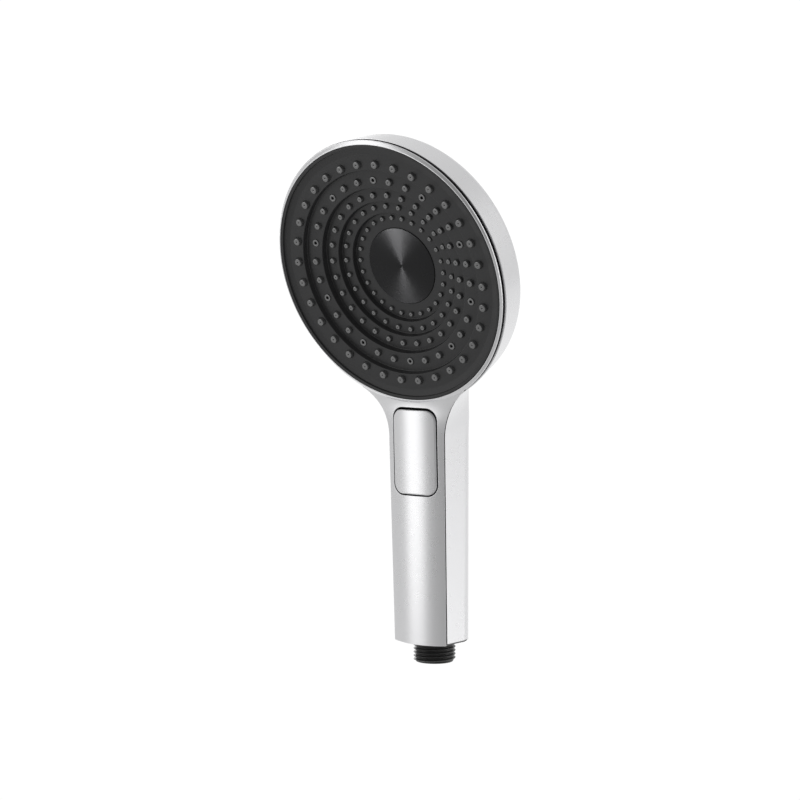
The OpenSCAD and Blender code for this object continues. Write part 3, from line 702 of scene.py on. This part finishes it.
def front_loop():
    """Anticlockwise outline of the front casing from the front, up to under the bezel."""
    heights = [*np.arange(0, 100, 2.0), *np.linspace(100, NECK_HIGH, 42)]
    right = [(float(front_half(z)), z) for z in heights]
    ring_r = BEZEL_R - 0.5
    last = right[-1]
    arc = []
    for x in np.linspace(last[0] - 0.5, -last[0] + 0.5, 60):
        s = math.sqrt(ring_r ** 2 - x ** 2)
        arc.append((x, FACE_Z - s * COS + UNDER_RIM * SIN))
    right = [q for q in right if q[1] < NECK_HIGH - 0.01]
    left = [(-x, z) for x, z in reversed(right)]
    bottom = [(x, float(foot(x))) for x in np.linspace(-right[0][0], right[0][0], 24)[1:-1]]
    return bottom + right + arc + left


def front_y(x, z):
    """Y of the bowed front."""
    u = np.clip(x / front_half(z), -1, 1)
    return corner_y(z) - bow(z) * (1 - u * u)


def under_bezel(x, z):
    """Whether the outline is under the bezel here, where its edge stays sharp."""
    near = math.hypot(x, (FACE_Z - z) / COS) < BEZEL_R + 0.3
    below = math.hypot(x, (FACE_Z - z + UNDER_RIM * SIN) / COS) < BEZEL_R - 0.3
    return z > 118 and near and below


outer = front_loop()
loose = np.array([0.0 if under_bezel(x, z) else 1.0 for x, z in outer])
hole_loop = window_loop(0, WINDOW_CORNER)
front = Build()
outer_rows = [[(x, float(corner_y(z)) + SEAM_FRONT, z) for x, z in outer]]
hole_rows = [[(x, float(corner_y(z)) + SEAM_FRONT, z) for x, z in hole_loop]]
for t in np.linspace(0, math.pi / 2, 5):
    inset, depth = ROUND * (1 - math.cos(t)), ROUND * (1 - math.sin(t))
    outer_flat = shrink(outer, (inset * loose)[:, None])
    hole_flat = shrink(hole_loop, -inset)
    outer_rows.append([(x, float(front_y(x, z)) + depth * w, z) for (x, z), w in zip(outer_flat, loose)])
    hole_rows.append([(x, float(front_y(x, z)) + depth, z) for x, z in hole_flat])
front.rows(outer_rows)
front.rows(hole_rows)
gx, gz = np.meshgrid(np.arange(-33, 33, 1.4), np.arange(0.2, 126, 1.4))
gx[::2] += 0.7
grid = np.c_[gx.ravel(), gz.ravel()]
roomy = inside(shrink(outer, 0.9), grid) & ~inside(shrink(hole_loop, -0.9), grid)
flat, tris = triangulate([outer_flat.tolist(), hole_flat.tolist()], grid[roomy].tolist(),
                         lambda c: inside(outer_flat, c) & ~inside(hole_flat, c))
front.add([(x, float(front_y(x, z)), z) for x, z in flat], tris.tolist())
flat, tris = triangulate([list(outer), list(hole_loop)], [],
                         lambda c: inside(outer, c) & ~inside(hole_loop, c))
front.add([(x, float(corner_y(z)) + SEAM_FRONT, z) for x, z in flat], tris[:, ::-1].tolist())
bezel = Build()
bezel_back = (RIM_SLOPE + SEAM_FRONT) * COS
edge = rounded([(65.0, 1.85), (65.0, 0.0), (RIM_R, 0.02), (BEZEL_R, 0.75), (BEZEL_R, bezel_back),
                (64.4, bezel_back)], [0.2, 0.9, 0.5, 0.1], 6)
bezel.lathe(edge + [(64.4, 6), (63.9, 6), (63.9, 1.85)], 256, closed=True)
for i, (x, s, h) in enumerate(bezel.verts):
    r = math.hypot(x, s)
    if r > RIM_R:
        narrow = 1 - RIM_NARROW / (BEZEL_R - RIM_R) * (x / r) ** 2
        fit = (RIM_R + (r - RIM_R) * narrow) / r
        bezel.verts[i] = (x * fit, s * fit, h)
front.add(to_row(bezel.verts), bezel.faces)
front_skin = piece("front_casing", front, chrome, "casing", sharp=50)
surface_normals(front_skin.data, front_y)


def front_bare_and_shaded(c, n):
    """Back of the front casing, which is bare plastic, and the walls of its window deeper than 1.2 mm and
    of the bezel's gap, made dark as painted shade in those gaps.
    """
    x, y, z = c
    s, h = to_face(y, z)
    if 63.8 < math.hypot(x, s) < 64.95 and h > 1:
        return True
    # window walls deeper than 1.2 mm get painted shade for the gap round the button
    wall = abs(x) < WINDOW_W / 2 + 0.05 and WINDOW_LOW - 0.05 < z < WINDOW_HIGH + 0.05
    return n[1] > 0.5 or wall and y > front_y(x, z) + 1.2


darken(front_skin.data, front_bare_and_shaded)

# ---- Button cap ----
CAP_ROUND, CAP_WALL, CAP_GAP = 0.7, 1.6, 0.6
CAP_BACK = -13.8                # y of its back edge
CAP_FRONT, CAP_R = -17.1, 55.7  # y of its front at the window's lower edge, and the radius across
CAP_LEAN = math.tan(math.radians(2.1))


def cap_y(x, z):
    return CAP_FRONT - (z - WINDOW_LOW) * CAP_LEAN + x * x / (2 * CAP_R)


cap_loop = np.array(window_loop(CAP_GAP, WINDOW_CORNER - CAP_GAP))
top = cap_loop[:, 1] > 100
cap_loop[top, 1] -= 0.4         # a wider gap above the cap, which swings in there
cap = Build()
cap_rows = [[(x, CAP_BACK, z) for x, z in cap_loop]]
for t in np.linspace(0, math.pi / 2, 9):
    inset, depth = CAP_ROUND * (1 - math.cos(t)), CAP_ROUND * (1 - math.sin(t))
    cap_flat = shrink(cap_loop, inset)
    cap_rows.append([(x, float(cap_y(x, z)) + depth, z) for x, z in cap_flat])
cap.rows(cap_rows)
roomy = inside(shrink(cap_loop, CAP_ROUND + 0.6), grid)
flat, tris = triangulate([cap_flat.tolist()], grid[roomy].tolist(), lambda c: inside(cap_flat, c))
cap.add([(x, float(cap_y(x, z)), z) for x, z in flat], tris.tolist())
rim = shrink(cap_loop, CAP_WALL)
cap.rows([[(x, CAP_BACK, z) for x, z in cap_loop], [(x, CAP_BACK, z) for x, z in rim],
          [(x, float(cap_y(x, z)) + CAP_WALL, z) for x, z in rim]])
flat, tris = triangulate([rim.tolist()], [], lambda c: inside(rim, c))
cap.add([(x, float(cap_y(x, z)) + CAP_WALL, z) for x, z in flat], tris[:, ::-1].tolist())
cap_skin = piece("button_cap", cap, chrome, "button", sharp=50)
surface_normals(cap_skin.data, cap_y)
# bare plastic at the back, and painted shade on the cap's side walls below its rounding, for the gap round
# the cap
darken(cap_skin.data, lambda c, n: n[1] > 0.5 or c[1] > cap_y(c[0], c[2]) + CAP_ROUND)


# ---- Spray plate: five stepped rings of nozzle holes ----
def nozzles():
    """Ring number, whether it is one of the wide jets, and its place on the face."""
    for k, count in enumerate(RING_COUNT):
        for i in range(count):
            a = 2 * math.pi / count * (i + (0.5 if k in (0, 2) else 0))
            yield k, k == 1 and i % 3 == 0, RING_R[k] * math.sin(a), -RING_R[k] * math.cos(a)


def circle(r, n=192, x=0.0, y=0.0):
    turns = [2 * math.pi * i / n for i in range(n)]
    return [(x + r * math.cos(a), y + r * math.sin(a)) for a in turns]


plate = Build()
edges = [59.4]                  # outer and inner radius of each terrace's flat part, one after the other
plate.lathe(rounded([(PLATE_R, 1.8), (PLATE_R, 0.1), (63.4, 0.1), (63.2, 1.15), (60, TERRACE_H[0]),
                     (edges[0], TERRACE_H[0])], [0.3, 0.15, 0.2, 0.5], 4))
for k in range(4):
    r, h0, h1 = STEP_R[k], TERRACE_H[k], TERRACE_H[k + 1]
    plate.lathe(rounded([(r + 0.6, h0), (r, h0), (r - 0.5, h1), (r - 1.1, h1)], [0.22, 0.3], 4))
    edges += [r + 0.6, r - 1.1]
edges.append(DISC_R + 0.5)
plate.lathe(rounded([(DISC_R + 0.5, TERRACE_H[4]), (DISC_R + 0.1, TERRACE_H[4]), (DISC_R + 0.1, DISC_SEAT),
                     (6.6, DISC_SEAT), (6.6, 16.4), (2.8, 16.4)], [0.12, 0, 0, 0], 3))
spots = list(nozzles())
for k in range(5):
    r0, r1, h = edges[2 * k], edges[2 * k + 1], TERRACE_H[k]
    holes = [(x, y) for ring, jet, x, y in spots if ring == k]
    hole_r = NOZZLE_R[k] + HOLE_GAP
    hx = np.array(holes)

    def solid_part(c, hx=hx, hole_r=hole_r, r0=r0, r1=r1):
        r = np.hypot(c[:, 0], c[:, 1])
        near = np.hypot(c[:, None, 0] - hx[None, :, 0], c[:, None, 1] - hx[None, :, 1]).min(1)
        return (r < r0) & (r > r1) & (near > hole_r * 0.988)

    rims = [circle(hole_r, 28, x, y) for x, y in holes]
    flat, tris = triangulate([circle(r0), circle(r1), *rims], [], solid_part)
    plate.add([(x, y, h) for x, y in flat], tris.tolist())
    for x, y in holes:
        plate.lathe([(hole_r, 0), (hole_r, 1.3)], 28, at=(x, y, h))
piece("spray_plate", plate, face_black, "casing", FACE)

# ---- Silicone nozzles on their mat ----
mat_build = Build()
for k, jet, x, y in spots:
    r, h = NOZZLE_R[k], NOZZLE_H[k]
    if jet:
        shape = rounded([(r, 1.7), (r, 0), (r - 0.1, -0.4), (0.8, -0.4), (0.8, 2.2)], [0.05, 0.12, 0.12], 3)
    else:
        tip, bore = 0.8 * r, 0.15 * r
        shape = rounded([(r, 1.7), (r, 0), (tip, -h), (bore, -h), (bore, 1.5), (0, 1.5)],
                        [0.05, 0.3, 0.06, 0], 4)
    mat_build.lathe(shape, 28, at=(x, y, TERRACE_H[k]))
back = []
for i in range(4):
    back += [(STEP_R[i] + 1.0, TERRACE_H[i] + 1.7), (STEP_R[i] + 0.5, TERRACE_H[i + 1] + 1.7)]
under = [(r + 0.9, h + 1.1) for r, h in back]
mat_build.lathe([(62.3, 3.4), *back, (21.2, 14.4), (21.2, 15.5), *reversed(under), (62.3, 4.5)],
                192, closed=True)
piece("nozzle_mat", mat_build, silicone, "casing", FACE)

# ---- Turned metal disc ----
disc = Build()
disc.lathe(rounded([(0, 12.7), (0.3, 12.55), (0.9, DISC_TOP), (DISC_R, DISC_TOP), (DISC_R, DISC_SEAT),
                    (0, DISC_SEAT)], [0.1, 0.1, 0.25, 0], 4), 256)
disc_skin = piece("centre_disc", disc, gunmetal, "casing", FACE)

# ---- Inlet tube with its helical thread ----
THREAD_DEPTH = 0.64 * THREAD_PITCH
THREAD_END, END_R = -9.9, 9.45  # the thread stops here, at this radius
NIPPLE_SIDES = 96


def thread_radius(z, turn):
    """Radius of the thread at a height and a share of a full turn."""
    t = ((z - 0.24) / THREAD_PITCH - turn) % 1.0
    ramp = abs(2 * t - 1)                           # 1 on a crest, 0 in a root
    tooth = min(1, max(0, (ramp - 0.12) / 0.76))
    tooth = tooth * tooth * (3 - 2 * tooth) * 0.35 + tooth * 0.65
    fade = min(1, max(0, (-0.7 - z) / 0.8))         # the thread runs out into the shoulder
    r = THREAD_R - THREAD_DEPTH + THREAD_DEPTH * tooth * fade + (THREAD_DEPTH - 0.45) * (1 - fade)
    return min(r, END_R + 2.4 * (z - THREAD_END) + 0.02)


nipple = Build()
loops = []
for z in np.linspace(THREAD_END, 0, 166):
    loop = []
    for i in range(NIPPLE_SIDES):
        a = 2 * math.pi * i / NIPPLE_SIDES
        r = thread_radius(z, i / NIPPLE_SIDES)
        loop.append((r * math.cos(a), r * math.sin(a), z))
    loops.append(loop)
nipple.rows(loops)
nipple.lathe(rounded([(END_R, THREAD_END), (9.3, -NIPPLE), (7.8, -NIPPLE), (7.8, -8.8), (7.2, -8.8),
                      (7.2, 2), (5.5, 2), (5.5, 69)], [0.4, 0.15, 0, 0, 0, 0], 4), NIPPLE_SIDES)
# shoulder, tube, and two grooves for the seals
tube = [(10.03, 0), (10.03, 3.1), (10.7, 3.1), (10.7, 6), (8.5, 8), (8.5, 59.9), (7, 59.9)]
for z in (62.5, 66.5):
    tube += [(7, z - 0.7), (6, z - 0.7), (6, z + 0.7), (7, z + 0.7)]
nipple.lathe(rounded([*tube, (7, 69), (5.5, 69)], 0.15, 2), NIPPLE_SIDES)
piece("inlet_tube", nipple, inlet_black, "casing")

# ---- Plunger's spring, which rides on the plunger ----
COIL_R, WIRE_R, COILS, PER_COIL, WIRE_SIDES = 3.9, 0.3, 3, 48, 12
COIL_START, COIL_LENGTH = -4.55, 3.2    # along Y, from the plunger to the rotor


def wire_loop(step, radius):
    """The wire's outline after this many steps round the coil."""
    a, y = 2 * math.pi * step / PER_COIL, COIL_START + COIL_LENGTH * step / (COILS * PER_COIL)
    loop = []
    for k in range(WIRE_SIDES):
        b = 2 * math.pi * k / WIRE_SIDES
        r = COIL_R + radius * math.cos(b)
        loop.append((r * math.cos(a), y + radius * math.sin(b), SELECTOR_Z + r * math.sin(a)))
    return loop


coil = Build()
coil.rows([wire_loop(i, WIRE_R) for i in range(COILS * PER_COIL + 1)])
coil.cap_ends(WIRE_SIDES)
spring = piece("plunger_spring", coil, steel, "plunger")
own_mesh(spring)

# ---- Camera, floor and light ----
camera = bpy.data.objects.new("camera", bpy.data.cameras.new("camera"))
bpy.context.scene.collection.objects.link(camera)
camera.data.lens = 112.5
camera.data.sensor_width = 36
camera.data.clip_end = 50
camera.location = (0.7437, -0.9848, 0.2142)
aim = Vector((-0.0197, -0.0027, 0.1191))
camera.rotation_euler = (aim - camera.location).to_track_quat("-Z", "Y").to_euler()
bpy.context.scene.camera = camera
bpy.context.scene.view_settings.view_transform = "Standard"


def fresh_tree(data):
    """The empty node tree of a world or a material."""
    data.use_nodes = True
    data.node_tree.nodes.clear()
    return data.node_tree


def leaning(tree, vector, direction, base):
    """A strength that grows along a direction, from this value in the middle."""
    lean = tree.nodes.new("ShaderNodeVectorMath")
    lean.operation = "DOT_PRODUCT"
    lean.inputs[1].default_value = direction
    level = tree.nodes.new("ShaderNodeMath")
    level.inputs[1].default_value = base
    tree.links.new(vector, lean.inputs[0])
    tree.links.new(lean.outputs["Value"], level.inputs[0])
    return level.outputs[0]


def white_to_camera(tree, shader, white, out_type):
    """Shows plain white to the camera, and the shader to everything that is lit or mirrored."""
    path = tree.nodes.new("ShaderNodeLightPath")
    mix = tree.nodes.new("ShaderNodeMixShader")
    out = tree.nodes.new(out_type)
    tree.links.new(path.outputs["Is Camera Ray"], mix.inputs["Fac"])
    tree.links.new(shader.outputs[0], mix.inputs[1])
    tree.links.new(white.outputs[0], mix.inputs[2])
    tree.links.new(mix.outputs[0], out.inputs["Surface"])


world = bpy.data.worlds.new("studio")
bpy.context.scene.world = world
tree = fresh_tree(world)
coord = tree.nodes.new("ShaderNodeTexCoord")
fill = tree.nodes.new("ShaderNodeBackground")
fill.inputs["Color"].default_value = (1, 1, 1, 1)
# brighter behind the object and to its left
strength = leaning(tree, coord.outputs["Generated"], (-0.16, 0.24, 0.02), 0.53)
tree.links.new(strength, fill.inputs["Strength"])
white = tree.nodes.new("ShaderNodeBackground")
white.inputs["Color"].default_value = (1, 1, 1, 1)
white.inputs["Strength"].default_value = 1.05
white_to_camera(tree, fill, white, "ShaderNodeOutputWorld")

floor_mesh = bpy.data.meshes.new("floor")
floor_mesh.from_pydata([(-6, -6, 0), (6, -6, 0), (6, 6, 0), (-6, 6, 0)], [], [(0, 1, 2, 3)])
floor = bpy.data.objects.new("floor", floor_mesh)
floor.location.z = -0.32
bpy.context.scene.collection.objects.link(floor)
floor_mat = bpy.data.materials.new("floor")
tree = fresh_tree(floor_mat)
coord = tree.nodes.new("ShaderNodeTexCoord")
away = tree.nodes.new("ShaderNodeVectorMath")
away.operation = "NORMALIZE"
tree.links.new(coord.outputs["Object"], away.inputs[0])
matte = tree.nodes.new("ShaderNodeBsdfDiffuse")
matte.inputs["Color"].default_value = (0.4, 0.4, 0.4, 1)
haze = tree.nodes.new("ShaderNodeEmission")
# the floor glows like the room round it
strength = leaning(tree, away.outputs["Vector"], (-0.12, 0.26, 0), 0.42)
tree.links.new(strength, haze.inputs["Strength"])
both = tree.nodes.new("ShaderNodeAddShader")
tree.links.new(matte.outputs[0], both.inputs[0])
tree.links.new(haze.outputs[0], both.inputs[1])
glow = tree.nodes.new("ShaderNodeEmission")
glow.inputs["Strength"].default_value = 1.02
white_to_camera(tree, both, glow, "ShaderNodeOutputMaterial")
floor_mesh.materials.append(floor_mat)


def softbox(name, azimuth, elevation, distance, size, power):
    """A rectangular light aimed at the middle of the object. Azimuth runs from -Y towards +X."""
    data = bpy.data.lights.new(name, "AREA")
    data.shape = "RECTANGLE"
    data.size, data.size_y = size
    data.energy = power
    obj = bpy.data.objects.new(name, data)
    a, e = math.radians(azimuth), math.radians(elevation)
    target = Vector((0, -0.01, 0.13))
    direction = Vector((math.sin(a) * math.cos(e), -math.cos(a) * math.cos(e), math.sin(e)))
    obj.location = target + distance * direction
    obj.rotation_euler = (target - obj.location).to_track_quat("-Z", "Y").to_euler()
    obj.visible_camera = False
    bpy.context.scene.collection.objects.link(obj)
    return obj


softbox("key", -36, 8, 1.3, (0.54, 1.7), 3.0)
softbox("left", -125, 10, 1.5, (0.6, 1.5), 3.2)
softbox("right", 125, 13, 1.4, (0.75, 1.6), 5.2)
softbox("top", -95, 52, 1.4, (0.7, 0.7), 2.2)
# a small light on the turned disc alone, for its fans
accent = softbox("accent", -37.4, -7, 0.566, (0.12, 0.16), 0.85)
only = bpy.data.collections.new("turned disc")
only.objects.link(disc_skin)
accent.light_linking.receiver_collection = only
